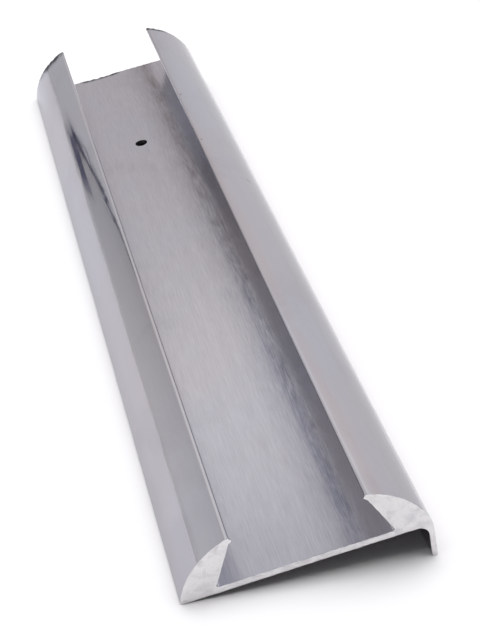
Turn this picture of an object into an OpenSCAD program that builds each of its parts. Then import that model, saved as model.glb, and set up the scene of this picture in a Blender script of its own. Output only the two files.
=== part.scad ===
// Extruded aluminium channel section with two fat undercut lips and a down-turned leg.
// It lies as such a piece lies on a bench, on the corner of one lip and on the foot of
// the leg, so the web is tilted. X runs across the section, Y along the length.

/* [Stock] */
// Length of the sawn piece
length = 300; // [150:5:600]
// Width over both lips, measured along the web
width = 70; // [56:1:110]

/* [Web] */
// Thickness of the web between the lips
web_t = 2; // [1.2:0.1:3]

/* [Lips] */
// Height of each lip above the underside of the web
lip_h = 18; // [14:0.5:22]
// How far the nose of a lip reaches in from the outer face
lip_reach = 16.8; // [14:0.2:20]
// How far in from the outer face the inside of a lip stands on the web
lip_foot = 10.2; // [8:0.2:12]
// Radius of the rounded outside of a lip
lip_r = 25; // [20:0.5:40]
// Radius of the nose of a lip
nose_r = 0.7; // [0.5:0.1:1.4]
// Fillet in each undercut corner of the channel
root_r = 0.6; // [0.3:0.1:1.2]

/* [Leg] */
// How far the leg drops below the underside of the web
leg_drop = 12; // [7:0.5:20]
// Thickness of the leg
leg_t = 1.5; // [1.2:0.1:3]
// Fillet between the leg and the underside of the web
bend_r = 3.2; // [1:0.2:4]
// Radius that eases the outside of a lip into the leg
shoulder_r = 8; // [5:0.5:12]
// Radius that breaks the free corners of the section
edge_r = 0.4; // [0.2:0.1:0.6]

/* [Screw hole] */
// Diameter of the screw hole
hole_d = 4.5; // [3:0.1:7]
// Distance of the screw hole from the far end of the piece
hole_inset = 65; // [10:1:120]

/* [Hidden] */
$fn = 128;
// How far the hole's cutter runs past each face of the web
overrun = 1;
// A round stands this far proud of the faces it runs into, so that they cross cleanly.
bite = 0.001;
// How far a round reaches back into the metal behind it
lap = 0.2;

function unit(v) = v / norm(v);
function turned(p, a) = [p.x * cos(a) - p.y * sin(a), p.x * sin(a) + p.y * cos(a)];
function mirrored(p) = [width - p.x, p.y];

// The nose is a circle. The rounded outside passes through the outer corner, at the
// origin of the section, and holds the nose circle against its inside.
nose = [lip_reach - nose_r, lip_h - nose_r];
to_nose = unit(nose);
across_nose = [to_nose.y, -to_nose.x];
nose_gap = lip_r - nose_r + bite;
chord_part = (pow(lip_r, 2) - pow(nose_gap, 2) + pow(norm(nose), 2)) / (2 * norm(nose));
lip_c = to_nose * chord_part + across_nose * sqrt(pow(lip_r, 2) - pow(chord_part, 2));
nose_out = lip_c + unit(nose - lip_c) * lip_r;

// The inside of the lip is a straight line from its foot that touches the nose circle.
foot = [lip_foot, web_t];
foot_gap = norm(nose - foot);
nose_side = nose_r - bite;
foot_angle = atan2(nose.y - foot.y, nose.x - foot.x) - asin(nose_side / foot_gap);
inside = [cos(foot_angle), sin(foot_angle)];
nose_in = foot + inside * sqrt(pow(foot_gap, 2) - pow(nose_side, 2));

// The fillet in the undercut corner touches the inside of the lip and the web.
root_run = root_r / tan(foot_angle / 2);
root_c = foot + [root_run, root_r];
root_up = foot + inside * root_run;
root_in = foot + [root_run, 0];
root_back = foot - [lap, lap];

// The outer corner is broken by a circle that touches the underside and the outside.
corner_gap = lip_r - edge_r + bite;
corner_y = edge_r - bite;
corner_c = [lip_c.x - sqrt(pow(corner_gap, 2) - pow(corner_y - lip_c.y, 2)), corner_y];
corner_up = lip_c + unit(corner_c - lip_c) * lip_r;
corner_in = [corner_c.x, 0];

// The shoulder eases the outside of the other lip into the outer face of the leg.
leg_lip_c = mirrored(lip_c);
shoulder_gap = lip_r - shoulder_r + bite;
shoulder_x = width - shoulder_r + bite;
shoulder_y = leg_lip_c.y + sqrt(pow(shoulder_gap, 2) - pow(shoulder_x - leg_lip_c.x, 2));
shoulder_c = [shoulder_x, shoulder_y];
shoulder_up = leg_lip_c + unit(shoulder_c - leg_lip_c) * lip_r;
shoulder_in = [width, shoulder_y];

// The leg ends in a square foot with broken corners.
leg_in = width - leg_t;
foot_y = edge_r - leg_drop - bite;
foot_out_c = [width - edge_r + bite, foot_y];
foot_in_c = [leg_in + edge_r - bite, foot_y];
bend = [leg_in, 0];
bend_c = bend - [bend_r, bend_r];

// The outline with a straight chord in place of each round, from the free corner onwards.
outline = [
    corner_in, bend, [leg_in, foot_y], [foot_in_c.x, -leg_drop],
    [foot_out_c.x, -leg_drop], [width, foot_y], shoulder_in, shoulder_up,
    mirrored(nose_out), mirrored(nose), mirrored(nose_in), mirrored(foot),
    foot, nose_in, nose, nose_out, corner_up, corner_c
];

// At rest a level line touches the free corner and the inner corner of the foot.
tilt = atan2(corner_c.y - foot_in_c.y, foot_in_c.x - corner_c.x);
rest_z = edge_r - turned(corner_c, tilt).y;
corner_left = turned(corner_c, tilt).x - edge_r;
face_left = turned(lip_c, tilt).x - lip_r;
left_x = (turned(corner_c - lip_c, tilt).y > 0) ? corner_left : face_left;
right_x = turned(foot_out_c, tilt).x + edge_r;
middle_x = (left_x + right_x) / 2;

module disc(centre, radius) {
    translate(centre) circle(r = radius);
}

// The part of a disc beyond the chord between two points on it, and a lap behind it. The
// ends run on past the chord by the length given.
module round_face(centre, radius, start, end, run_on = 0) {
    out = unit((start + end) / 2 - centre);
    along = unit(end - start) * run_on;
    intersection() {
        disc(centre, radius);
        polygon([
            start - along - out * lap, end + along - out * lap,
            end + along + out * radius, start - along + out * radius
        ]);
    }
}

// The metal left in an inner corner by a round tool that touches both of its walls.
module fillet(centre, radius, corners) {
    difference() {
        polygon(corners);
        disc(centre, radius + bite);
    }
}

module root_fillet() {
    fillet(root_c, root_r, [
        root_back, root_in - [0, lap], root_c, root_up + [-inside.y, inside.x] * lap
    ]);
}

module bend_fillet() {
    fillet(bend_c, bend_r, [
        bend_c, [bend.x + lap, bend_c.y], bend + [lap, lap], [bend_c.x, lap]
    ]);
}

module section() {
    polygon(outline);
    disc(corner_c, edge_r);
    disc(foot_out_c, edge_r);
    disc(foot_in_c, edge_r);
    disc(nose, nose_r);
    disc(mirrored(nose), nose_r);
    round_face(lip_c, lip_r, nose_out, corner_up);
    round_face(leg_lip_c, lip_r, shoulder_up, mirrored(nose_out));
    round_face(shoulder_c, shoulder_r, shoulder_in, shoulder_up, run_on = 2 * lap);
    root_fillet();
    translate([width, 0]) mirror([1, 0]) root_fillet();
    bend_fillet();
}

module screw_hole() {
    translate([width / 2, length / 2 - hole_inset, -overrun])
        cylinder(d = hole_d, h = web_t + 2 * overrun);
}

module profile() {
    color("silver")
        translate([-middle_x, 0, rest_z])
            rotate([0, -tilt, 0])
                difference() {
                    translate([0, length / 2, 0])
                        rotate([90, 0, 0])
                            linear_extrude(length) section();
                    screw_hole();
                }
}

profile();
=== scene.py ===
# %% [markdown]
# # A length of extruded aluminium channel
# This lesson dresses one piece of raw stock: a sawn length of aluminium section with two
# fat lips that lean in over a flat web, and a short leg that hangs below one edge.
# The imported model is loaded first. It gives the size and the place of everything, so the
# piece that we model has a box to stay in.

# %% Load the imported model
import math

import bpy
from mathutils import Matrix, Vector


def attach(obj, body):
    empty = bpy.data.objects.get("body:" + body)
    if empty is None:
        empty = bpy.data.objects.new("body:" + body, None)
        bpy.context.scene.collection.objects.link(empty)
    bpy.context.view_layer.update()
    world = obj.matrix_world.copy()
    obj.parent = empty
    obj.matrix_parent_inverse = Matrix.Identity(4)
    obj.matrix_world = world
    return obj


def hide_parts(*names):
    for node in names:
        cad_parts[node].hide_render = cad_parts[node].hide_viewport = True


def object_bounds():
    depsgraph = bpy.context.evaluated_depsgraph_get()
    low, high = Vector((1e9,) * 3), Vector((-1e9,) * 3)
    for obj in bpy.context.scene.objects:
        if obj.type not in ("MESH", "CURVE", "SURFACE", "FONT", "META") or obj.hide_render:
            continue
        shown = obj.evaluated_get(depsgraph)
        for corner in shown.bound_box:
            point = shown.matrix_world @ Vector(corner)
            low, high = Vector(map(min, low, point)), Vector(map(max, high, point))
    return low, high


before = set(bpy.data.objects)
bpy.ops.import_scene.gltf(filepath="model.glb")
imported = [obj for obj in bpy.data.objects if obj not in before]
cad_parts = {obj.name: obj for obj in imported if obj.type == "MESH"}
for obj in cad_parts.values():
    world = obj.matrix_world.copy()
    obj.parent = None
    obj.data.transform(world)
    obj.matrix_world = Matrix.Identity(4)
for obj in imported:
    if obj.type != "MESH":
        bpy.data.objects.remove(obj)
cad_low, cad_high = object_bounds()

print("packed nodes:", sorted(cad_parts))
box = [round(1000 * (high - low), 2) for low, high in zip(cad_low, cad_high)]
print("box in mm:", box)

# %% [markdown]
# ## The camera
# The photograph was taken close to the piece with a short telephoto view, from above the
# near end. Where the camera stood was solved from the outline of the piece: straight
# edges that are parallel on the real section run together towards one point in a picture,
# and how fast they do so tells how near the camera was. We place it with given numbers instead
# of with a constraint, so that nothing turns it later.

# %% Place the camera
CAMERA_PLACE = (-0.076382, -0.397824, 0.270727)
CAMERA_TURN = (0.950098, 0.015478, -0.242404)
CAMERA_LENS = 78.964

camera_data = bpy.data.cameras.new("camera")
camera_data.lens = CAMERA_LENS
camera_data.sensor_width = 36.0
camera_data.clip_start = 0.01
camera_data.clip_end = 50.0
camera = bpy.data.objects.new("camera", camera_data)
camera.location = CAMERA_PLACE
camera.rotation_euler = CAMERA_TURN
bpy.context.scene.collection.objects.link(camera)
bpy.context.scene.camera = camera
print("camera at", CAMERA_PLACE)

# %% [markdown]
# ## The section on paper
# An extrusion is one flat drawing pushed through a die, so the drawing comes first. All
# its sizes are real ones, in metres. The outside of a lip is one large arc, its nose is a
# small circle, and its inside is a straight line. Where two arcs touch, the centre of one
# lies on the line through the centre of the other, and that gives every point below. The
# drawing starts at the corner of the free lip, X runs along the underside to the leg's
# outer face, and the near end of the bar is at nought.

# %% Sizes of the section
LENGTH = 0.300
NEAR = 0.0
FAR = LENGTH
WIDTH = 0.070
WEB = 0.002
LIP_HEIGHT = 0.018
LIP_REACH = 0.0168
LIP_FOOT = 0.0102
LIP_ROUND = 0.025
NOSE_ROUND = 0.0007
ROOT_ROUND = 0.0006
LEG_DROP = 0.012
LEG = 0.0015
BEND_ROUND = 0.0032
SHOULDER_ROUND = 0.008
EDGE_ROUND = 0.0004
HOLE_RADIUS = 0.00225
HOLE_INSET = 0.065
print("section in mm:", round(1000 * WIDTH), "by", round(1000 * (LIP_HEIGHT + LEG_DROP)))

# %% Points of the section
def unit(v):
    """The same direction, with a length of one."""
    return v / v.length


nose = Vector((LIP_REACH - NOSE_ROUND, LIP_HEIGHT - NOSE_ROUND))
nose_gap = LIP_ROUND - NOSE_ROUND
chord_part = (LIP_ROUND ** 2 - nose_gap ** 2 + nose.length ** 2) / (2 * nose.length)
to_nose = unit(nose)
across_nose = Vector((to_nose.y, -to_nose.x))
centre_rise = math.sqrt(LIP_ROUND ** 2 - chord_part ** 2)
lip_centre = to_nose * chord_part + across_nose * centre_rise

foot = Vector((LIP_FOOT, WEB))
to_centre = nose - foot
lean = math.atan2(to_centre.y, to_centre.x) - math.asin(NOSE_ROUND / to_centre.length)
root_run = ROOT_ROUND / math.tan(lean / 2)
root_centre = foot + Vector((root_run, ROOT_ROUND))

corner_gap = LIP_ROUND - EDGE_ROUND
corner_x = lip_centre.x - math.sqrt(corner_gap ** 2 - (EDGE_ROUND - lip_centre.y) ** 2)
corner_centre = Vector((corner_x, EDGE_ROUND))

leg_lip_centre = Vector((WIDTH - lip_centre.x, lip_centre.y))
shoulder_gap = LIP_ROUND - SHOULDER_ROUND
shoulder_x = WIDTH - SHOULDER_ROUND
shoulder_run = shoulder_x - leg_lip_centre.x
shoulder_y = leg_lip_centre.y + math.sqrt(shoulder_gap ** 2 - shoulder_run ** 2)
shoulder_centre = Vector((shoulder_x, shoulder_y))

leg_inside = WIDTH - LEG
bend_centre = Vector((leg_inside - BEND_ROUND, -BEND_ROUND))
foot_in = Vector((leg_inside + EDGE_ROUND, EDGE_ROUND - LEG_DROP))
foot_out = Vector((WIDTH - EDGE_ROUND, EDGE_ROUND - LEG_DROP))
print("lip centre in mm:", [round(1000 * v, 3) for v in lip_centre])

# %% [markdown]
# ## The outline, drawn with a walking vertex
# In edit mode one vertex can draw a whole outline. Extrude makes a straight stretch and
# spin makes an arc round a given centre, and each leaves its last vertex selected, ready
# for the next step. Small steps on the straight parts matter here: they give the sawn
# ends enough vertices for nicks and burrs later.

# %% Tools for the walk
def only(obj):
    """Selects one object, makes it active, and nothing else."""
    if bpy.context.mode != "OBJECT":
        bpy.ops.object.mode_set(mode="OBJECT")
    bpy.ops.object.select_all(action="DESELECT")
    obj.select_set(True)
    bpy.context.view_layer.objects.active = obj


def unpick(obj, kind):
    """Clears a mesh's selection, so that code can pick vertices, edges or faces."""
    only(obj)
    bpy.ops.object.mode_set(mode="EDIT")
    bpy.ops.mesh.select_mode(type=kind)
    bpy.ops.mesh.select_all(action="DESELECT")
    bpy.ops.object.mode_set(mode="OBJECT")


def walk_line(start, end, steps):
    """Extrudes the selected vertex from start to end in equal steps."""
    step = (end - start) / steps
    for _ in range(steps):
        bpy.ops.mesh.extrude_region_move(
            TRANSFORM_OT_translate={"value": (step.x, 0, step.y)}
        )
    return end


def arc_angles(start, centre, end):
    """The angle at which an arc starts, and how far it turns the short way to its end."""
    first = math.atan2(start.y - centre.y, start.x - centre.x)
    last = math.atan2(end.y - centre.y, end.x - centre.x)
    return first, (last - first + math.pi) % (2 * math.pi) - math.pi


def walk_arc(start, centre, end, steps):
    """Spins the selected vertex round centre from start to end, the short way."""
    _, turn = arc_angles(start, centre, end)
    bpy.ops.mesh.spin(
        steps=steps, angle=turn, center=(centre.x, 0, centre.y), axis=(0, 1, 0)
    )
    return end


def mirrored(p):
    """The same point on the lip of the leg's side."""
    return Vector((WIDTH - p.x, p.y))


print("tools: only, unpick, walk_line and walk_arc")

# %% Corner points of the walk
foot_dir = Vector((math.cos(lean), math.sin(lean)))
nose_in = foot + foot_dir * math.sqrt(to_centre.length ** 2 - NOSE_ROUND ** 2)
nose_out = lip_centre + unit(nose - lip_centre) * LIP_ROUND
root_up = foot + foot_dir * root_run
root_in = foot + Vector((root_run, 0))
corner_up = lip_centre + unit(corner_centre - lip_centre) * LIP_ROUND
corner_in = Vector((corner_centre.x, 0))
shoulder_up = leg_lip_centre + unit(shoulder_centre - leg_lip_centre) * LIP_ROUND
shoulder_in = Vector((WIDTH, shoulder_y))
bend_web = bend_centre + Vector((0, BEND_ROUND))
bend_leg = bend_centre + Vector((BEND_ROUND, 0))

# Each stretch has a name, its end point, the centre of its arc or None, and its steps.
stretches = [
    ("underside", bend_web, None, 60),
    ("bend", bend_leg, bend_centre, 10),
    ("leg inside", foot_in - Vector((EDGE_ROUND, 0)), None, 8),
    ("foot inner corner", foot_in - Vector((0, EDGE_ROUND)), foot_in, 4),
    ("foot", foot_out - Vector((0, EDGE_ROUND)), None, 2),
    ("foot outer corner", foot_out + Vector((EDGE_ROUND, 0)), foot_out, 4),
    ("leg outside", shoulder_in, None, 14),
    ("shoulder", shoulder_up, shoulder_centre, 4),
    ("leg lip outside", mirrored(nose_out), leg_lip_centre, 40),
    ("leg lip nose", mirrored(nose_in), mirrored(nose), 10),
    ("leg lip inside", mirrored(root_up), None, 14),
    ("leg lip root", mirrored(root_in), mirrored(root_centre), 5),
    ("channel floor", root_in, None, 64),
    ("free lip root", root_up, root_centre, 5),
    ("free lip inside", nose_in, None, 14),
    ("free lip nose", nose_out, nose, 10),
    ("free lip outside", corner_up, lip_centre, 40),
    ("free corner", corner_in, corner_centre, 4),
]
print("stretches of the outline:", len(stretches))

# %% Walk round the section
# vertices nearer to each other than this are one
SAME_PLACE = 1e-6

# a tiny plane is merged into the one vertex that walks
bpy.ops.object.select_all(action="DESELECT")
bpy.ops.mesh.primitive_plane_add(size=0.001, location=(corner_in.x, 0, corner_in.y))
profile = bpy.context.object
profile.name = "extrusion"
profile.data.name = "extrusion"
bpy.ops.object.transform_apply(location=True, rotation=True, scale=True)
bpy.ops.object.mode_set(mode="EDIT")
bpy.ops.mesh.select_all(action="SELECT")
bpy.ops.mesh.merge(type="CENTER")
here = corner_in
for _, end, centre, steps in stretches:
    if centre is None:
        here = walk_line(here, end, steps)
    else:
        here = walk_arc(here, centre, end, steps)
bpy.ops.mesh.select_all(action="SELECT")
bpy.ops.mesh.remove_doubles(threshold=SAME_PLACE)
bpy.ops.object.mode_set(mode="OBJECT")
print("outline:", len(profile.data.vertices), "vertices,", len(profile.data.edges), "edges")

# %% [markdown]
# ## From outline to bar
# The die gives the bar its length, and extrude does the same here. The rings stand close
# together at both ends, where the saw left burrs and chips, and far apart in the middle,
# where nothing changes. Each end is then closed with one face, and a narrow rim is inset
# in it, so that an edge that is dragged later doesn't pull on the whole face.

# %% Push the outline through the die
# how far the rings stand apart, from a sawn end inwards
END_STEPS = [0.00012, 0.00018, 0.0003, 0.0004, 0.0006, 0.0009, 0.0015, 0.002, 0.003, 0.004]
MIDDLE_STEPS = 60
middle_step = (LENGTH - 2 * sum(END_STEPS)) / MIDDLE_STEPS
ring_steps = END_STEPS + [middle_step] * MIDDLE_STEPS + END_STEPS[::-1]

only(profile)
bpy.ops.object.mode_set(mode="EDIT")
bpy.ops.mesh.select_mode(type="EDGE")
bpy.ops.mesh.select_all(action="SELECT")
for step in ring_steps:
    bpy.ops.mesh.extrude_region_move(TRANSFORM_OT_translate={"value": (0, step, 0)})
bpy.ops.object.mode_set(mode="OBJECT")
print("rings:", len(ring_steps) + 1, "faces:", len(profile.data.polygons))

# %% Close both sawn ends
SAW_RIM = 0.0002
for end_y in (NEAR, FAR):
    unpick(profile, "EDGE")
    at_end = [abs(vertex.co.y - end_y) < SAME_PLACE for vertex in profile.data.vertices]
    for edge in profile.data.edges:
        edge.select = all(at_end[i] for i in edge.vertices)
    bpy.ops.object.mode_set(mode="EDIT")
    bpy.ops.mesh.edge_face_add()
    bpy.ops.mesh.inset(thickness=SAW_RIM, use_boundary=True, use_even_offset=True)
bpy.ops.mesh.select_all(action="SELECT")
bpy.ops.mesh.normals_make_consistent(inside=False)
bpy.ops.object.mode_set(mode="OBJECT")
print("closed bar:", len(profile.data.polygons), "faces")

# %% [markdown]
# ## Coordinates that follow the skin
# Die lines run along the bar, and each keeps its place on the outline, also where the
# skin curves round a lip. So the material needs to know how far round the outline a point
# lies. That distance and the place along the length go into a UV map, in metres. The walk
# is repeated on paper, and each of its points gets the distance walked so far.

# %% Measure the girth
KEYS_PER_METRE = 5e5


def girth_key(x, z):
    """Names a point of the outline to the nearest two micrometres."""
    return round(x * KEYS_PER_METRE), round(z * KEYS_PER_METRE)


outline_points = [corner_in]
last_points = {}
for name, end, centre, steps in stretches:
    start = outline_points[-1]
    for k in range(1, steps + 1):
        if centre is None:
            outline_points.append(start.lerp(end, k / steps))
        else:
            first_angle, turn = arc_angles(start, centre, end)
            angle = first_angle + turn * k / steps
            spoke = Vector((math.cos(angle), math.sin(angle)))
            outline_points.append(centre + spoke * (start - centre).length)
    last_points[name] = outline_points[-1]

girth_at = {}
walked = 0.0
for point, next_point in zip(outline_points, outline_points[1:]):
    girth_at[girth_key(point.x, point.y)] = walked
    walked += (next_point - point).length
GIRTH = walked
print("girth of the outline in mm:", round(1000 * GIRTH, 2))

# %% Lay the map on the skin
def girth_of(x, z):
    """Distance round the outline of a point that was drawn by the walk."""
    key = girth_key(x, z)
    for dx in (0, -1, 1):
        for dz in (0, -1, 1):
            near_key = (key[0] + dx, key[1] + dz)
            if near_key in girth_at:
                return girth_at[near_key]
    return 0.0


mesh = profile.data
skin_map = mesh.uv_layers.new(name="skin")
for face in mesh.polygons:
    corners = [mesh.vertices[i].co for i in face.vertices]
    around = [girth_of(co.x, co.z) for co in corners]
    # the face that closes the round ends at the full girth, not back at nought
    wraps = len(face.vertices) == 4 and max(around) - min(around) > GIRTH / 2
    for loop, co, value in zip(face.loop_indices, corners, around):
        if wraps and value < GIRTH / 2:
            value += GIRTH
        skin_map.data[loop].uv = (value, co.y)

# how far round the outline each stretch ends
girth_end = {name: girth_of(p.x, p.y) for name, p in last_points.items()}
FLOOR_FROM = girth_end["leg lip root"]
FLOOR_TO = girth_end["channel floor"]
print("channel floor in mm of girth:", round(1000 * FLOOR_FROM, 1), round(1000 * FLOOR_TO, 1))

# %% [markdown]
# ## The screw hole
# The hole runs across the die's way, so it was drilled, and a drill leaves a tiny slope
# where it goes in and comes out. A boolean cuts it exactly round through the long faces of the
# web. The cutter is a cylinder whose ends are extruded and flared, so the slope comes with
# the same cut. The cutter's faces use the third material slot, which the wall inherits.

# %% Slots for the three finishes
FINISHES = ("skin", "sawn", "drilled")
# how squarely a face has to look along an axis to count as an end
END_ON = 0.99


def add_slots(obj, slot_names):
    """Gives an object one material slot for each name."""
    for name in slot_names:
        obj.data.materials.append(bpy.data.materials[name])


for finish in FINISHES:
    bpy.data.materials.new(finish)
add_slots(profile, FINISHES)
for face in profile.data.polygons:
    if abs(face.normal.y) > END_ON:
        face.material_index = FINISHES.index("sawn")
print("material slots:", list(FINISHES))

# %% Shape the drill
HOLE_SLOPE = 0.00012
HOLE_FLARE = 0.0004
HOLE_SIDES = 96
hole_centre = (WIDTH / 2, LENGTH - HOLE_INSET, WEB / 2)
flare = (HOLE_RADIUS + HOLE_FLARE) / HOLE_RADIUS

bpy.ops.object.select_all(action="DESELECT")
bpy.ops.mesh.primitive_cylinder_add(
    vertices=HOLE_SIDES, radius=HOLE_RADIUS, depth=WEB - 2 * HOLE_SLOPE, location=hole_centre
)
drill = bpy.context.object
drill.name = "drill"
bpy.ops.object.transform_apply(location=True, rotation=True, scale=True)
for side in (1, -1):
    unpick(drill, "FACE")
    for face in drill.data.polygons:
        face.select = face.normal.z * side > END_ON
    bpy.ops.object.mode_set(mode="EDIT")
    bpy.ops.mesh.extrude_region_move(
        TRANSFORM_OT_translate={"value": (0, 0, side * HOLE_FLARE)}
    )
    bpy.ops.transform.resize(value=(flare, flare, 1), center_override=hole_centre)
    bpy.ops.object.mode_set(mode="OBJECT")
add_slots(drill, FINISHES)
for face in drill.data.polygons:
    face.material_index = FINISHES.index("drilled")
print("drill:", len(drill.data.polygons), "faces")

# %% Drill the hole
only(profile)
cut = profile.modifiers.new("hole", "BOOLEAN")
cut.operation = "DIFFERENCE"
cut.solver = "EXACT"
cut.object = drill
bpy.ops.object.modifier_apply(modifier="hole")
bpy.data.objects.remove(drill)
print("with the hole:", len(profile.data.polygons), "faces")

# %% [markdown]
# ## What the saw and the bench did
# A cold saw tears the last fraction of a millimetre: the edges of the sawn faces are not
# quite straight, the thin noses carry a small burr, and an end that was dropped has
# chips. Proportional editing drags a vertex and its neighbours together, which is just
# how soft metal gives. The amounts are small, so that the size stays true.

# %% A hand that drags
def drag(obj, place, move, reach):
    """Moves the nearest vertex and its neighbours within reach, fading outwards."""
    unpick(obj, "VERT")
    target = Vector(place)
    nearest = min(obj.data.vertices, key=lambda v: (v.co - target).length)
    nearest.select = True
    bpy.ops.object.mode_set(mode="EDIT")
    bpy.ops.transform.translate(
        value=move, use_proportional_edit=True, proportional_size=reach,
        proportional_edit_falloff="SMOOTH", use_proportional_connected=True
    )
    bpy.ops.object.mode_set(mode="OBJECT")


print("vertices that can be dragged:", len(profile.data.vertices))

# %% Burrs and chips
NOSE_TIP = 0.0171

# Each is the place, the move and the reach of one drag.
burrs_and_chips = [
    # the noses at the near end, drawn out by the saw
    ((LIP_REACH, NEAR, NOSE_TIP), (0.00042, -0.0001, -0.00022), 0.0014),
    ((WIDTH - LIP_REACH, NEAR, NOSE_TIP), (-0.00045, -0.0001, -0.0001), 0.0014),
    # a chip on the outside of the free lip, far end
    ((0.0096, FAR, 0.0139), (0.0001, -0.0001, -0.0001), 0.0012),
    ((0.0118, FAR, 0.0154), (0.0001, -0.0002, -0.0001), 0.0014),
    # the dented far edge of the web
    ((0.0245, FAR, WEB), (0, -0.0002, -0.0002), 0.0016),
    ((0.0272, FAR, WEB), (0, -0.0004, -0.0003), 0.0020),
    ((0.0302, FAR, WEB), (0, -0.0003, -0.0002), 0.0018),
    ((0.0330, FAR, WEB), (0, -0.0002, -0.0002), 0.0016),
    # the scuffed far tip of the lip on the leg's side
    ((WIDTH - 0.0150, FAR, 0.0174), (0.0001, -0.0002, -0.0002), 0.0012),
    ((WIDTH - 0.0128, FAR, 0.0163), (0.0001, -0.0003, -0.0002), 0.0013),
]
for place, move, reach in burrs_and_chips:
    drag(profile, place, move, reach)
print("burrs and chips:", len(burrs_and_chips))

# %% Ragged edges of the sawn faces
SAW_RAG = 0.00005
SAW_SEED = 7
# a vertex this near to an end is on its sawn face
END_SLACK = 1e-5
for end_y in (NEAR, FAR):
    unpick(profile, "VERT")
    for vertex in profile.data.vertices:
        vertex.select = abs(vertex.co.y - end_y) < END_SLACK
    bpy.ops.object.mode_set(mode="EDIT")
    bpy.ops.transform.vertex_random(
        offset=SAW_RAG, uniform=1.0, normal=0.0, seed=SAW_SEED
    )
bpy.ops.object.mode_set(mode="OBJECT")
print("the saw's raggedness in mm:", 1000 * SAW_RAG)

# %% [markdown]
# ## Black in the chips
# Bench dirt packs into torn metal and stays there. A number on every vertex, called an
# attribute, says how much: it is one on the torn edge and fades over a few millimetres.

# %% Grime attribute
# how strongly a distance along the section counts beside one along the bar
GRIME_SPREAD = 0.6
torn_edges = [
    # from and to along the section, in metres, and how far the dirt reaches inwards
    ((0.0087, 0.0132), (0.0112, 0.0151), 0.0046),
    ((0.0233, WEB), (0.0349, WEB), 0.0020),
    ((WIDTH - 0.0167, 0.0177), (WIDTH - 0.0111, 0.0152), 0.0022),
]
grime = profile.data.attributes.new(name="grime", type="FLOAT", domain="POINT")
for vertex in profile.data.vertices:
    here = Vector((vertex.co.x, vertex.co.z))
    for start, end, reach in torn_edges:
        start = Vector(start)
        stretch = Vector(end) - start
        share = (here - start).dot(stretch) / stretch.length_squared
        nearest = start + stretch * min(max(share, 0.0), 1.0)
        away = math.hypot((here - nearest).length * GRIME_SPREAD, FAR - vertex.co.y)
        depth = max(0.0, 1.0 - away / reach)
        grime.data[vertex.index].value = max(grime.data[vertex.index].value, depth)
print("vertices with grime:", sum(1 for entry in grime.data if entry.value > 0))

# %% [markdown]
# ## Laying the bar down
# Nothing holds the bar level. It rests on the corner of the free lip and on the foot of
# the leg, so the web leans. The turn is applied to the mesh itself, which leaves the
# object at the origin, unturned and unscaled, as the export wants it.

# %% Tilt and place
SMOOTH_UNDER = math.radians(28)
tilt = math.atan2(corner_centre.y - foot_in.y, foot_in.x - corner_centre.x)


def turned(p):
    """A point of the section after the whole section is tilted."""
    return Vector((
        p.x * math.cos(tilt) - p.y * math.sin(tilt),
        p.x * math.sin(tilt) + p.y * math.cos(tilt),
    ))


rest_z = EDGE_ROUND - turned(corner_centre).y
left_x = turned(corner_centre).x - EDGE_ROUND
right_x = turned(foot_out).x + EDGE_ROUND
middle_x = (left_x + right_x) / 2

only(profile)
profile.rotation_euler = (0, -tilt, 0)
profile.location = (-middle_x, -LENGTH / 2, rest_z)
bpy.ops.object.transform_apply(location=True, rotation=True, scale=True)
bpy.ops.object.shade_smooth_by_angle(angle=SMOOTH_UNDER)
print("tilt in degrees:", round(math.degrees(tilt), 3))
print("lowest point in mm:", round(1000 * min(v.co.z for v in profile.data.vertices), 3))

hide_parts("profile")
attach(profile, "root")

# %% [markdown]
# ## Finishes
# Mill finish aluminium is metal all through, so its look comes from how it scatters a
# reflection. The die leaves hair-fine lines along the bar, handling leaves smudges, and the
# saw leaves a coarser and paler face. Each finish is a tree of nodes. A few helpers come
# first: each adds one kind of node, and takes plain values or the sockets of other nodes.

# %% Helpers that add and feed nodes
def add_node(tree, kind, spot, **settings):
    """Adds a node at a spot of the tree and sets its own properties."""
    node = tree.nodes.new(kind)
    node.location = spot
    for name, value in settings.items():
        setattr(node, name, value)
    return node


def feed(tree, slot, value):
    """Links an input to a socket, or sets it where the value is a plain one."""
    if isinstance(value, bpy.types.NodeSocket):
        tree.links.new(value, slot)
    else:
        slot.default_value = value


def feed_all(tree, node, **values):
    """Feeds inputs by name. An underscore in a name stands for a space."""
    for label, value in values.items():
        feed(tree, node.inputs[label.replace("_", " ")], value)


def maths(tree, operation, spot, *values, clamp=False):
    """A Math node, which works on numbers."""
    node = add_node(tree, "ShaderNodeMath", spot, operation=operation, use_clamp=clamp)
    for slot, value in zip(node.inputs, values):
        feed(tree, slot, value)
    return node.outputs[0]


def vector_maths(tree, operation, output, spot, *values):
    """A Vector Math node, and the output of it that is asked for."""
    node = add_node(tree, "ShaderNodeVectorMath", spot, operation=operation)
    for slot, value in zip(node.inputs, values):
        feed(tree, slot, value)
    return node.outputs[output]


def separated(tree, spot, vector):
    """The X, Y and Z outputs of a vector."""
    node = add_node(tree, "ShaderNodeSeparateXYZ", spot)
    tree.links.new(vector, node.inputs[0])
    return node.outputs


print("helpers: add, feed, maths and separated")

# %% Helpers for patterns
def graded(tree, spot, value, start, end, first=0.0, last=1.0, curve="LINEAR"):
    """Goes from first to last while the value goes from start to end."""
    node = add_node(tree, "ShaderNodeMapRange", spot, interpolation_type=curve)
    feed_all(tree, node, Value=value, From_Min=start, From_Max=end, To_Min=first, To_Max=last)
    return node.outputs[0]


def mixed(tree, spot, factor, first, second, clamp=True):
    """Mixes two colours: all first at a factor of 0, all second at 1."""
    node = add_node(tree, "ShaderNodeMix", spot, data_type="RGBA", clamp_factor=clamp)
    feed_all(tree, node, Factor=factor, A=first, B=second)
    return node.outputs["Result"]


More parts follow.
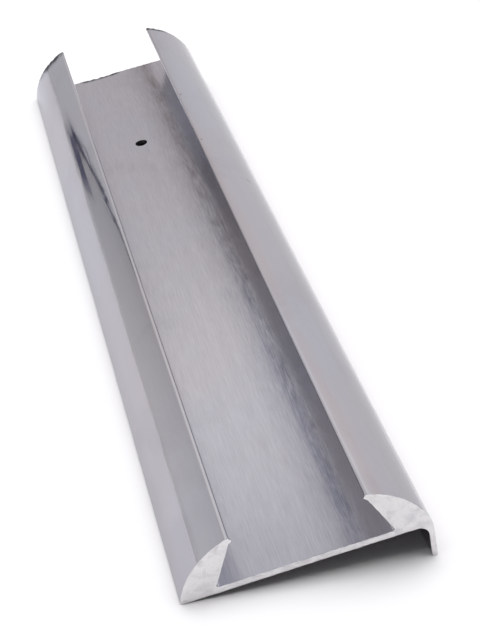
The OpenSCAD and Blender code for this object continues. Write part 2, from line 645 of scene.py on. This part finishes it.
def ramp(tree, spot, value, stops, curve="LINEAR"):
    """A Color Ramp node. Each stop is a position from 0 to 1 and the colour there."""
    node = add_node(tree, "ShaderNodeValToRGB", spot)
    node.color_ramp.interpolation = curve
    elements = node.color_ramp.elements
    for element, (position, colour) in zip(elements, (stops[0], stops[-1])):
        element.position = position
        element.color = colour
    for position, colour in stops[1:-1]:
        elements.new(position).color = colour
    tree.links.new(value, node.inputs["Fac"])
    return node.outputs["Color"]


def stretched(tree, spot, vector, scale):
    """Scales a coordinate, so that a pattern on it gets finer where the scale is large."""
    node = add_node(tree, "ShaderNodeMapping", spot)
    feed_all(tree, node, Vector=vector, Scale=scale)
    return node.outputs[0]


def noise(tree, spot, vector, detail, roughness=0.5, scale=1.0, warp=0.0):
    """A cloudy pattern of values round a half."""
    node = add_node(tree, "ShaderNodeTexNoise", spot)
    feed_all(
        tree, node, Vector=vector, Scale=scale, Detail=detail, Roughness=roughness,
        Distortion=warp
    )
    return node.outputs[0]


print("helpers: graded, mixed, ramp, stretched and noise")

# %% [markdown]
# ### Patterns with knobs of their own
# A pattern is built once, as a node group with named inputs, and each place that uses it
# gives it its own scales and strengths. A group hands on nothing but numbers, and the
# shader stays in the material.

# %% A helper that starts a group
NUMBER = "NodeSocketFloat"
VECTOR = "NodeSocketVector"


def start_group(name, inputs, outputs):
    """A node group with named inputs and outputs, each given as name: (kind, default)."""
    tree = bpy.data.node_groups.new(name, "ShaderNodeTree")
    for label, (kind, default) in inputs.items():
        socket = tree.interface.new_socket(label, in_out="INPUT", socket_type=kind)
        if default is not None:
            socket.default_value = default
    for label in outputs:
        tree.interface.new_socket(label, in_out="OUTPUT", socket_type=NUMBER)
    given = add_node(tree, "NodeGroupInput", (-900, 0)).outputs
    result = add_node(tree, "NodeGroupOutput", (700, 0)).inputs
    return tree, given, result


print("helpers: start_group")

# %% [markdown]
# ### Drawn lines
# The lines are a noise stretched almost without end along the bar: fine across, slow
# along. Two noises of different width are given out, because a die scores in broad bands
# and in hairs.

# %% The drawn lines group
drawn, given, result = start_group(
    "drawn_lines",
    {
        "Vector": (VECTOR, None),
        "Lines per metre": (NUMBER, 2400.0),
        "Streaks per metre": (NUMBER, 120.0),
        "Bands per metre": (NUMBER, 300.0),
        "Breaks per metre": (NUMBER, 6.0),
    },
    ("Lines", "Bands"),
)
for count_across, count_along, label, height, detail in (
    ("Lines per metre", "Streaks per metre", "Lines", 150, 2.0),
    ("Bands per metre", "Breaks per metre", "Bands", -150, 4.0),
):
    counts = add_node(drawn, "ShaderNodeCombineXYZ", (-600, height))
    feed_all(drawn, counts, X=given[count_across], Y=given[count_along])
    scaled = vector_maths(
        drawn, "MULTIPLY", "Vector", (-200, height), given["Vector"], counts.outputs[0]
    )
    scores = noise(drawn, (150, height), scaled, detail=detail, roughness=0.6)
    drawn.links.new(scores, result[label])
print("group", drawn.name, "with", len(drawn.nodes), "nodes")

# %% [markdown]
# ### Smudges
# Fingers, cloths and stacking leave cloudy patches that are a little duller or darker. A
# warped noise makes the clouds, and a map range decides how much of it shows.

# %% The smudges group
smudges, given, result = start_group(
    "smudges",
    {
        "Vector": (VECTOR, None),
        "Scale": (NUMBER, 40.0),
        "Warp": (NUMBER, 1.0),
        "From": (NUMBER, 0.45),
        "To": (NUMBER, 0.7),
    },
    ("Mask",),
)
clouds = noise(
    smudges, (-300, 0), given["Vector"], detail=6.0, roughness=0.55,
    scale=given["Scale"], warp=given["Warp"]
)
shown = graded(smudges, (200, 0), clouds, given["From"], given["To"], curve="SMOOTHSTEP")
smudges.links.new(shown, result["Mask"])
print("group", smudges.name, "with", len(smudges.nodes), "nodes")

# %% [markdown]
# ### Strips of the outline
# Some of the finish belongs to one strip of the outline, such as the floor of the channel.
# This group turns the girth into a mask that is 1 inside a strip and fades at its sides.

# %% The strip group
strip, given, result = start_group(
    "strip",
    {
        "Vector": (VECTOR, None),
        "From": (NUMBER, 0.0),
        "To": (NUMBER, 0.1),
        "Fade": (NUMBER, 0.001),
    },
    ("Mask",),
)
girth_here = separated(strip, (-700, 0), given["Vector"])["X"]
rises = []
for side, height in (("From", 150), ("To", -150)):
    before = maths(strip, "SUBTRACT", (-500, height), given[side], given["Fade"])
    after = maths(strip, "ADD", (-500, height - 60), given[side], given["Fade"])
    rises.append(graded(strip, (-250, height), girth_here, before, after, curve="SMOOTHSTEP"))
inside = maths(strip, "SUBTRACT", (100, 0), *rises)
strip.links.new(inside, result["Mask"])
print("group", strip.name, "with", len(strip.nodes), "nodes")

# %% [markdown]
# ## The skin of the bar
# The lines scatter light sideways far more than along the bar, so the reflection is drawn
# out across them. That is anisotropy, with its tangent along the girth of the UV map. The
# map carries every pattern too, because one laid in space would cut through a round lip
# where it has to run along it.

# %% Start the skin
SKIN_ANISOTROPY = 0.75
SKIN_EDGE_TINT = (0.86, 0.86, 0.88, 1.0)


def start_metal(name):
    """Turns a slot's material into bare metal and returns its tree and shader."""
    material = bpy.data.materials[name]
    material.use_nodes = True
    shader = material.node_tree.nodes["Principled BSDF"]
    shader.inputs["Metallic"].default_value = 1.0
    return material.node_tree, shader


skin, skin_shader = start_metal("skin")
feed_all(skin, skin_shader, Anisotropic=SKIN_ANISOTROPY, Specular_Tint=SKIN_EDGE_TINT)
on_skin = add_node(skin, "ShaderNodeUVMap", (-1700, 0), uv_map="skin").outputs[0]
girth_way = add_node(
    skin, "ShaderNodeTangent", (-300, -700), direction_type="UV_MAP", uv_map="skin"
)
skin.links.new(girth_way.outputs[0], skin_shader.inputs["Tangent"])
print("the skin is started with an anisotropy of", SKIN_ANISOTROPY)

# %% [markdown]
# ### Where the skin changes
# The floor of the channel is scored harder than the lips, because there the metal rubs over
# the long flat core of the die. Smudges come in three sizes: the marks of hands, a fine
# haze, and wide clouds of tint. The top of the free lip's nose gets a paler strip, a painted
# highlight, and a duller gloss. Each of these is a mask, and the steps below use them.

# %% Masks of the skin
FLOOR_FADE = 0.0006
NOSE_TOP_FROM_SHARE = 0.8
NOSE_TOP_PAST_NOSE = 0.00005
NOSE_TOP_FADE = 0.0001


def place_group(tree, group, spot, vector, **values):
    """Places a group, and returns its outputs. An underscore stands for a space."""
    node = add_node(tree, "ShaderNodeGroup", spot, node_tree=group)
    feed_all(tree, node, Vector=vector, **values)
    return node.outputs


def between(start, end, share):
    """The point of the girth at a share of the way along one stretch of the outline."""
    return (1 - share) * girth_end[start] + share * girth_end[end]


channel = place_group(
    skin, strip, (-1450, 350), on_skin, From=FLOOR_FROM, To=FLOOR_TO, Fade=FLOOR_FADE
)["Mask"]
nose_top = place_group(
    skin, strip, (-1450, -900), on_skin, Fade=NOSE_TOP_FADE,
    From=between("free lip inside", "free lip nose", NOSE_TOP_FROM_SHARE),
    To=girth_end["free lip nose"] + NOSE_TOP_PAST_NOSE
)["Mask"]
lines = place_group(skin, drawn, (-1450, 150), on_skin)
# each cloud is its spot in the tree, scale, warp, and the values between which it shows
marks, haze, sheen = [
    place_group(skin, smudges, spot, on_skin, Scale=scale, Warp=warp, From=low, To=high)["Mask"]
    for spot, scale, warp, low, high in (
        ((-1450, -150), 26.0, 0.9, 0.48, 0.72),
        ((-1450, -400), 90.0, 0.5, 0.35, 0.75),
        ((-1450, 550), 9.0, 0.6, 0.30, 0.75),
    )
]
print("masks: channel, worn, marks, haze and sheen")

# %% [markdown]
# ### The tone of the metal
# Aluminium from the die is a cool middle grey. It shifts a shade from line to line and
# from band to band, most of all in the channel, and it is darker under a smudge. Wide
# patches of it are a little bluer. The lines may also brighten the metal, so the mix
# between the plain and the dark grey isn't clamped.

# %% Colour of the skin
SKIN_COLOUR = (0.440, 0.417, 0.442, 1.0)
SKIN_DARK = (0.318, 0.302, 0.329, 1.0)
SKIN_BLUE = (0.424, 0.427, 0.478, 1.0)
# paler colour on top of the free lip's nose: a painted highlight
NOSE_HIGHLIGHT_COLOUR = (0.50, 0.49, 0.51, 1.0)
MIDDLE = 0.5
LINES_ON_LIPS = 0.3
LINES_ON_FLOOR = 1.0
LINE_CONTRAST = 0.95
BAND_SHARE = 0.6
SMUDGE_DEPTH = 0.25

line_depth = maths(
    skin, "MULTIPLY_ADD", (-1150, 250), channel, LINES_ON_FLOOR - LINES_ON_LIPS, LINES_ON_LIPS
)
# a noise lies round its middle, so a line is brighter as often as it is darker
line_tone = maths(skin, "SUBTRACT", (-1150, 100), lines["Lines"], MIDDLE)
band_tone = maths(skin, "SUBTRACT", (-1150, 0), lines["Bands"], MIDDLE)
band_tone = maths(skin, "MULTIPLY", (-1000, 0), band_tone, BAND_SHARE)
line_tone = maths(skin, "ADD", (-1000, 100), line_tone, band_tone)
line_tone = maths(skin, "MULTIPLY", (-850, 100), line_tone, line_depth)
line_tone = maths(skin, "MULTIPLY", (-700, 100), line_tone, LINE_CONTRAST)
darkening = maths(skin, "MULTIPLY", (-950, -100), marks, SMUDGE_DEPTH)
darkening = maths(skin, "ADD", (-550, 50), darkening, line_tone)
plain = mixed(skin, (-500, 350), sheen, SKIN_COLOUR, SKIN_BLUE)
toned = mixed(skin, (-300, 200), darkening, plain, SKIN_DARK, clamp=False)
# the top of the nose is painted paler: a painted highlight
nose_highlighted = mixed(skin, (-200, 100), nose_top, toned, NOSE_HIGHLIGHT_COLOUR)
print("skin colour:", SKIN_COLOUR[:3])

# %% [markdown]
# ### The band of stain and painted shade
# Beside the lip on the leg's side runs a dark band, partly a stain and partly painted shade of
# that lip. It isn't an even stripe: it is deepest a fifth of the way across the channel, dies
# away by the middle, and its border is frayed. So its depth is a ramp across the channel, and a
# noise shifts it to and fro. The same noise and the drawn lines then break up the cover.

# %% Cover of the stain and painted shade
FRAY_SCALE = (200.0, 70.0, 1.0)
FRAY_WIDTH = 0.0030
# share of the way across the channel from the leg's side, and the depth there
STAIN_AND_SHADE_ACROSS = (
    (0.0, 0.0), (0.12, 0.08), (0.15, 0.18), (0.175, 0.44), (0.21, 0.56), (0.235, 0.50),
    (0.25, 0.38), (0.29, 0.25), (0.354, 0.13), (0.43, 0.04), (0.52, 0.0), (1.0, 0.0),
)
FLECK_BASE = 0.5
MARBLE_DEPTH = 1.6
MARBLE_BASE = 0.2

skin_place = separated(skin, (-1450, 600), on_skin)
fray_place = stretched(skin, (-1650, 800), on_skin, FRAY_SCALE)
wander = noise(skin, (-1450, 800), fray_place, detail=5.0, roughness=0.65, warp=1.0)
shift = maths(skin, "SUBTRACT", (-1200, 800), wander, MIDDLE)
shift = maths(skin, "MULTIPLY", (-1050, 800), shift, FRAY_WIDTH)
frayed = maths(skin, "ADD", (-900, 700), skin_place["X"], shift)
frayed = graded(skin, (-750, 700), frayed, FLOOR_FROM, FLOOR_TO)
# the band's depth: a stain, and painted shade of the lip on the leg's side
stain_and_shade_cover = ramp(
    skin, (-550, 700), frayed, [(share, (deep, deep, deep, 1)) for share, deep in STAIN_AND_SHADE_ACROSS]
)
flecks = maths(skin, "ADD", (-550, 500), lines["Lines"], FLECK_BASE)
marble = maths(skin, "MULTIPLY_ADD", (-550, 600), wander, MARBLE_DEPTH, MARBLE_BASE)
stain_and_shade_cover = maths(skin, "MULTIPLY", (-300, 600), stain_and_shade_cover, flecks)
stain_and_shade_cover = maths(skin, "MULTIPLY", (-300, 700), stain_and_shade_cover, marble)
# the band is partly a stain and partly painted shade
print("the stain is deepest at", max(deep for _, deep in STAIN_AND_SHADE_ACROSS))

# %% [markdown]
# ### Scuffs, and the colour of the stain and painted shade
# The outside of the lip on the leg's side has one broad faint mark and two small dark
# ones near its top. Each is a round spot, placed by its share of the way up that lip and
# its distance from the near end. They are added to the cover of the stain and painted shade,
# so they take its colour, which is slate near the camera and browner towards the far end.

# %% Scuffs and the colour of the stain and painted shade
STAIN_AND_SHADE_NEAR = (0.082, 0.094, 0.150, 1.0)
STAIN_AND_SHADE_FAR = (0.110, 0.088, 0.092, 1.0)
STAIN_AND_SHADE_TURNS = (0.04, 0.24)
# share of the way from shoulder to nose, place along the bar, radius, depth
SCUFFS = [
    (0.45, 0.172, 0.0022, 0.22),
    (0.975, 0.235, 0.0009, 0.60),
    (0.98, 0.197, 0.0008, 0.50),
]
for share, along_bar, radius, deep in SCUFFS:
    scuff_at = (between("shoulder", "leg lip outside", share), along_bar, 0.0)
    away = vector_maths(skin, "DISTANCE", "Value", (-750, 1000), on_skin, scuff_at)
    scuff = graded(skin, (-550, 1000), away, 0.0, radius, deep, 0.0, curve="SMOOTHSTEP")
    stain_and_shade_cover = maths(skin, "ADD", (-150, 900), stain_and_shade_cover, scuff)
far_share = graded(skin, (-550, 1150), skin_place["Y"], *STAIN_AND_SHADE_TURNS)
stain_and_shade_colour = mixed(skin, (-350, 1150), far_share, STAIN_AND_SHADE_NEAR, STAIN_AND_SHADE_FAR)
# the band of stain and painted shade goes over the metal
stained_and_shaded = mixed(skin, (-100, 300), stain_and_shade_cover, nose_highlighted, stain_and_shade_colour)
print("scuffs:", len(SCUFFS))

# %% [markdown]
# ### Packed dirt
# The grime attribute says where dirt can sit. Dirt never covers evenly, so the noise of
# the stain breaks it into crumbs before it turns the metal black.

# %% Dirt in the chips
GRIME_COLOUR = (0.035, 0.034, 0.04, 1.0)
CRUMB_CONTRAST = 3.0
CRUMB_BASE = -0.6
GRIME_STRENGTH = 2.4

grime_depth = add_node(skin, "ShaderNodeAttribute", (-300, 550), attribute_name="grime")
crumbs = maths(skin, "MULTIPLY_ADD", (-550, 900), wander, CRUMB_CONTRAST, CRUMB_BASE)
crumbs = maths(skin, "MULTIPLY", (-300, 800), grime_depth.outputs["Fac"], crumbs)
crumbs = maths(skin, "MULTIPLY", (-100, 800), crumbs, GRIME_STRENGTH, clamp=True)
blackened = mixed(skin, (100, 400), crumbs, stained_and_shaded, GRIME_COLOUR)
skin.links.new(blackened, skin_shader.inputs["Base Color"])
print("grime colour:", GRIME_COLOUR[:3])

# %% [markdown]
# ### How dull it is
# The lips come off the die as smooth as a dull mirror. The scored floor of the channel
# spreads its reflections wider, the haze adds a little wherever it lies, and the top of the
# free lip's nose is duller.

# %% Roughness of the skin
LIP_ROUGH = 0.08
FLOOR_ROUGH = 0.17
HAZE_ROUGH = 0.03
NOSE_TOP_ROUGH = 0.22

rough = maths(
    skin, "MULTIPLY_ADD", (-950, -300), channel, FLOOR_ROUGH - LIP_ROUGH, LIP_ROUGH
)
haze_rough = maths(skin, "MULTIPLY", (-950, -450), haze, HAZE_ROUGH)
rough = maths(skin, "ADD", (-700, -350), rough, haze_rough)
nose_top_rough = maths(skin, "MULTIPLY", (-700, -500), nose_top, NOSE_TOP_ROUGH)
rough = maths(skin, "ADD", (-550, -350), rough, nose_top_rough)
skin.links.new(rough, skin_shader.inputs["Roughness"])
print("roughness of lips and floor:", LIP_ROUGH, FLOOR_ROUGH)

# %% [markdown]
# ### Lines and waves to the eye
# The hair lines are at most some hundredths of a millimetre deep, and the whole skin has
# a flat wave that shows only in reflections. Neither changes the outline, so both are
# bumps: the wave comes first, and the lines sit on it.

# %% Relief of the skin
BUMP_STRENGTH = 0.5
LINE_RELIEF = 0.000025
WAVE_RELIEF = 0.0002
WAVE_SCALE = (160.0, 22.0, 1.0)


def bump(tree, spot, height, distance):
    """A Bump node. Distance is the relief in metres from a height of 0 to one of 1."""
    node = add_node(tree, "ShaderNodeBump", spot)
    feed_all(tree, node, Height=height, Strength=BUMP_STRENGTH, Distance=distance)
    return node


wave_place = stretched(skin, (-1200, -650), on_skin, WAVE_SCALE)
wave = noise(skin, (-950, -650), wave_place, detail=2.0, warp=0.6)
wavy = bump(skin, (-550, -650), wave, WAVE_RELIEF)
line_height = maths(skin, "MULTIPLY", (-550, -450), lines["Lines"], line_depth)
scored = bump(skin, (-300, -400), line_height, LINE_RELIEF)
skin.links.new(wavy.outputs[0], scored.inputs["Normal"])
skin.links.new(scored.outputs[0], skin_shader.inputs["Normal"])
print("nodes in the skin:", len(skin.nodes))

# %% [markdown]
# ## The sawn faces
# The saw leaves fresh metal: paler, without the grey skin, and torn into a fine grain that
# scatters light evenly. The grain is a bump, and wider patches vary the tone. These faces
# are flat, so their patterns can read the place in space.

# %% Sawn metal
SAWN_PALE = (0.755, 0.742, 0.755, 1.0)
SAWN_DULL = (0.625, 0.612, 0.633, 1.0)
SAWN_ROUGH = 0.5
GRAIN_RELIEF = 0.00015


def in_space(tree):
    """The place of a point on the piece, in metres."""
    return add_node(tree, "ShaderNodeTexCoord", (-1300, 0)).outputs["Object"]


sawn, sawn_shader = start_metal("sawn")
on_sawn = in_space(sawn)
grain = place_group(
    sawn, smudges, (-1050, 200), on_sawn, Scale=1600.0, Warp=0.2, From=0.3, To=0.7
)["Mask"]
patches = place_group(
    sawn, smudges, (-1050, -50), on_sawn, Scale=330.0, Warp=0.6, From=0.4, To=0.7
)["Mask"]
sawn_colour = mixed(sawn, (-500, 200), patches, SAWN_PALE, SAWN_DULL)
torn = bump(sawn, (-300, -350), grain, GRAIN_RELIEF)
feed_all(
    sawn, sawn_shader, Base_Color=sawn_colour, Roughness=SAWN_ROUGH, Normal=torn.outputs[0]
)
print("sawn colour:", SAWN_PALE[:3])

# %% [markdown]
# ## The wall of the hole
# Inside the hole hardly any light arrives, and its wall's colour is darkened as well, a painted
# shade. The same smudges vary its tone.

# %% Drilled metal
# dark wall colours: painted shade inside the hole
DRILLED_SHADED_PALE = (0.30, 0.29, 0.31, 1.0)
DRILLED_SHADED_DARK = (0.18, 0.175, 0.19, 1.0)
DRILLED_ROUGH = 0.4

drilled, drilled_shader = start_metal("drilled")
unevenness = place_group(
    drilled, smudges, (-1050, 0), in_space(drilled), Scale=900.0, Warp=0.2, From=0.3, To=0.7
)["Mask"]
drilled_shaded_colour = mixed(drilled, (-500, 200), unevenness, DRILLED_SHADED_PALE, DRILLED_SHADED_DARK)
feed_all(drilled, drilled_shader, Base_Color=drilled_shaded_colour, Roughness=DRILLED_ROUGH)
print("finishes:", [m.name for m in profile.data.materials])

# %% [markdown]
# ## The studio floor
# Bare metal shows what stands around it, so the studio is part of its look. The floor is
# a matt white sheet that shows the shadow of the bar. A ray that has already left a matt
# surface meets a greyer floor, which keeps the shadow under the bar deep. Far from the
# bar the sheet turns into plain white, for the camera only.

# %% Floor
FLOOR_SIZE = 8
FLOOR_WHITE = (0.965, 0.957, 0.972, 1.0)
FLOOR_GREY = (0.30, 0.29, 0.31, 1.0)
WHITE_FROM = 0.4
WHITE_TO = 1.0

bpy.ops.object.select_all(action="DESELECT")
bpy.ops.mesh.primitive_plane_add(size=FLOOR_SIZE, location=(0, 0, 0))
floor = bpy.context.object
floor.name = "floor"
floor_paint = bpy.data.materials.new("floor paint")
floor_paint.use_nodes = True
sheet = floor_paint.node_tree
sheet_shader = sheet.nodes["Principled BSDF"]
bounces = add_node(sheet, "ShaderNodeLightPath", (-700, 0)).outputs
sheet_colour = mixed(sheet, (-300, 0), bounces["Diffuse Depth"], FLOOR_WHITE, FLOOR_GREY)
feed_all(
    sheet, sheet_shader, Base_Color=sheet_colour, Roughness=1.0, Specular_IOR_Level=0.0
)
on_sheet = add_node(sheet, "ShaderNodeTexCoord", (-900, -300)).outputs["Object"]
from_bar = vector_maths(sheet, "LENGTH", "Value", (-700, -300), on_sheet)
whiten = graded(sheet, (-500, -300), from_bar, WHITE_FROM, WHITE_TO, curve="SMOOTHSTEP")
whiten = maths(sheet, "MULTIPLY", (-300, -300), whiten, bounces["Is Camera Ray"])
white = add_node(sheet, "ShaderNodeEmission", (0, -400))
blend = add_node(sheet, "ShaderNodeMixShader", (300, 0))
for start, end in (
    (whiten, blend.inputs[0]),
    (sheet_shader.outputs[0], blend.inputs[1]),
    (white.outputs[0], blend.inputs[2]),
    (blend.outputs[0], sheet.nodes["Material Output"].inputs["Surface"]),
):
    sheet.links.new(start, end)
floor.data.materials.append(floor_paint)
print("floor in metres:", FLOOR_SIZE)

# %% [markdown]
# ## The room
# The room is the colour of the world, and it is white to the camera. For the rest its tone
# depends on the way that a ray goes. It grows brighter towards the leg's side. Its front
# is dim for the floor, which keeps the shadow in front of the bar, but the metal mirrors
# it bright. Its ceiling is bright for the floor, but the metal mirrors it dim, so that it
# never glares. A ray that the metal mirrors is a glossy one that hasn't met a matt
# surface yet.

# %% Room around the bar
FRONT_DIM = 0.12
FRONT_MIRRORED = 0.92
# parts of a ray's direction between which the tone changes
FRONT_TO_BACK = (-0.5, 0.2)
SIDE_TO_SIDE = (0.08, 0.5)
SIDE_TONES = (1.165, 1.42)
# heights between which the mirrored ceiling loses its glare
GLARE_FROM = 0.73
GLARE_TO = 0.90
GLARE_LOSS = 0.66
WHITE = (1.0, 1.0, 1.0, 1.0)

scene = bpy.context.scene
scene.view_settings.view_transform = "Standard"
room = bpy.data.worlds.new("room")
scene.world = room
room.use_nodes = True
walls = room.node_tree
look_way = add_node(walls, "ShaderNodeTexCoord", (-900, 0))
way = separated(walls, (-700, 0), look_way.outputs["Generated"])
rays = add_node(walls, "ShaderNodeLightPath", (-900, -600)).outputs
unbounced = maths(walls, "LESS_THAN", (-800, -300), rays["Diffuse Depth"], 0.5)
mirrored_ray = maths(walls, "MULTIPLY", (-750, -350), rays["Is Glossy Ray"], unbounced)
front = maths(
    walls, "MULTIPLY_ADD", (-650, -400), mirrored_ray, FRONT_MIRRORED - FRONT_DIM, FRONT_DIM
)
sideways = graded(
    walls, (-500, 150), way["X"], *SIDE_TO_SIDE, *SIDE_TONES, curve="SMOOTHSTEP"
)
backwards = graded(
    walls, (-500, -150), way["Y"], *FRONT_TO_BACK, first=front, curve="SMOOTHSTEP"
)
level = maths(walls, "MULTIPLY", (-250, 0), sideways, backwards)
glare = graded(walls, (-500, -750), way["Z"], GLARE_FROM, GLARE_TO, last=GLARE_LOSS)
damped = maths(walls, "MULTIPLY", (-350, -750), glare, mirrored_ray)
kept = maths(walls, "SUBTRACT", (-200, -750), 1.0, damped)
level = maths(walls, "MULTIPLY", (-100, 100), level, kept)
print("front of the room:", FRONT_DIM, "for the floor,", FRONT_MIRRORED, "in the metal")

# %% [markdown]
# ### Its tones from the horizon up
# A round lip mirrors the room from the horizon to the ceiling, one height beside the
# other, so the bands of tone on a lip are made here: a pale band at some forty degrees, a
# dimmer one over it, and a bright ceiling. A soft curve joins the stops, so no band has a
# hard edge.

# %% Tones of the room
# sine of the angle above the horizon, and the tone there
HEIGHT_TONES = [
    (0.0, (0.68, 0.68, 0.69)),
    (0.30, (0.70, 0.70, 0.71)),
    (0.465, (0.745, 0.710, 0.700)),
    (0.555, (0.83, 0.83, 0.83)),
    (0.60, (0.945, 0.95, 0.945)),
    (0.64, (1.14, 1.155, 1.14)),
    (0.68, (1.03, 1.03, 1.02)),
    (0.725, (0.84, 0.83, 0.83)),
    (0.80, (0.90, 0.90, 0.90)),
    (0.90, (1.20, 1.20, 1.20)),
    (1.0, (1.22, 1.22, 1.22)),
]
by_height = ramp(
    walls, (-500, -450), way["Z"], [(rise, (*tone, 1)) for rise, tone in HEIGHT_TONES],
    curve="CARDINAL"
)
shaded = vector_maths(walls, "MULTIPLY", "Vector", (-100, -100), level, by_height)
room_colour = mixed(walls, (50, -100), rays["Is Camera Ray"], shaded, WHITE)
walls.links.new(room_colour, walls.nodes["Background"].inputs["Color"])
print("tones of the room:", len(HEIGHT_TONES))

# %% [markdown]
# ## One soft lamp
# A broad soft lamp hangs over the bar and shines straight down. Its energy is worked out
# from its size, so that a wider lamp looks no brighter. It aims at a point a millimetre
# from the one right below it, because a direction that is exactly vertical leaves open
# which way the long side lies.

# %% Lamp
LAMP_PLACE = (-0.2, -0.05, 1.55)
LAMP_AIM = (-0.2, -0.051, 0.0)
LAMP_WIDTH = 3.6
LAMP_DEPTH = 1.25
LAMP_RADIANCE = 1.45


def soft_lamp(name, place, aim, width, depth, radiance):
    """An area lamp that faces aim and is as bright to look at as the radiance given."""
    bpy.ops.object.light_add(type="AREA", location=place)
    lamp = bpy.context.object
    lamp.name = name
    lamp.data.shape = "RECTANGLE"
    lamp.data.size = width
    lamp.data.size_y = depth
    lamp.data.energy = radiance * math.pi * width * depth
    down = Vector(aim) - Vector(place)
    lamp.rotation_euler = down.to_track_quat("-Z", "Y").to_euler()
    return lamp


overhead = soft_lamp(
    "overhead", LAMP_PLACE, LAMP_AIM, LAMP_WIDTH, LAMP_DEPTH, LAMP_RADIANCE
)
print("lamp", overhead.name, "of", round(overhead.data.energy, 1), "W")

# %% [markdown]
# ## What the metal mirrors
# A photographer shapes bare metal with cards: it shows them as bands of tone. A low card
# and a tall grey board stand along the free lip, and a wide grey sheet lies on the leg's
# side. The dark edge and foot of the board give the lip its black streak. All are seen by
# reflections only, so they throw no shadow.

# %% Card maker
UPRIGHT = math.pi / 2
FLAT = 0.0


def card(name, centre, size, turn, tone, lean=UPRIGHT, blue=1.0):
    """A card with a glow of its own, turned about the vertical after it is leant."""
    bpy.ops.object.select_all(action="DESELECT")
    bpy.ops.mesh.primitive_plane_add(size=1, location=centre, rotation=(lean, 0, turn))
    made = bpy.context.object
    made.name = name
    made.scale = (*size, 1)
    bpy.ops.object.transform_apply(location=True, rotation=True, scale=True)
    paint = bpy.data.materials.new(name)
    paint.use_nodes = True
    feed_all(
        paint.node_tree, paint.node_tree.nodes["Principled BSDF"],
        Base_Color=(0, 0, 0, 1), Specular_IOR_Level=0,
        Emission_Color=(tone, tone, tone * blue, 1), Emission_Strength=1
    )
    made.data.materials.append(paint)
    made.visible_camera = False
    made.visible_diffuse = False
    made.visible_shadow = False
    print("card", name, "of", size, "m")
    return made


print("helpers: card")

# %% Low card and grey sheet
ALONG_THE_BAR = math.pi / 2
card("low card", (-0.21, -0.24, 0.007), (1.36, 0.014), ALONG_THE_BAR, 0.84, blue=0.98)
card("grey sheet", (2.0, 0.10, 0.001), (3.9, 7.8), 0, 0.95, lean=FLAT)

# %% [markdown]
# ### The side board
# The board stands from a point behind the bar to one in front of it and further out. It
# darkens towards the end behind the bar, and so does the free lip that mirrors it. Two
# small cards in front of that end are its dark edge and foot.

# %% Side board
BOARD_BACK = Vector((-0.553, 1.085))
BOARD_FRONT = Vector((-1.1, -1.0))
BOARD_HEIGHT = 0.56
DARKENS_FROM = 0.35
BOARD_TONE = 1.09
BACK_GLOW = 0.52
EDGE_TURN = 0.5

board_way = BOARD_FRONT - BOARD_BACK
board_middle = (BOARD_FRONT + BOARD_BACK) / 2
board = card(
    "side board", (*board_middle, BOARD_HEIGHT / 2), (board_way.length, BOARD_HEIGHT),
    math.atan2(board_way.y, board_way.x), BOARD_TONE
)
board_paint = board.data.materials[0].node_tree
on_board = separated(board_paint, (-500, 0), in_space(board_paint))
glow = graded(
    board_paint, (-300, 0), on_board["Y"], DARKENS_FROM, BOARD_BACK.y, first=1.0, last=BACK_GLOW
)
board_paint.links.new(glow, board_paint.nodes["Principled BSDF"].inputs["Emission Strength"])
card("board edge", (-0.530, 1.040, 0.33), (0.026, 0.44), EDGE_TURN, 0.05, blue=2.0)
card("board foot", (-0.556, 0.990, 0.085), (0.080, 0.104), EDGE_TURN, 0.14, blue=1.5)
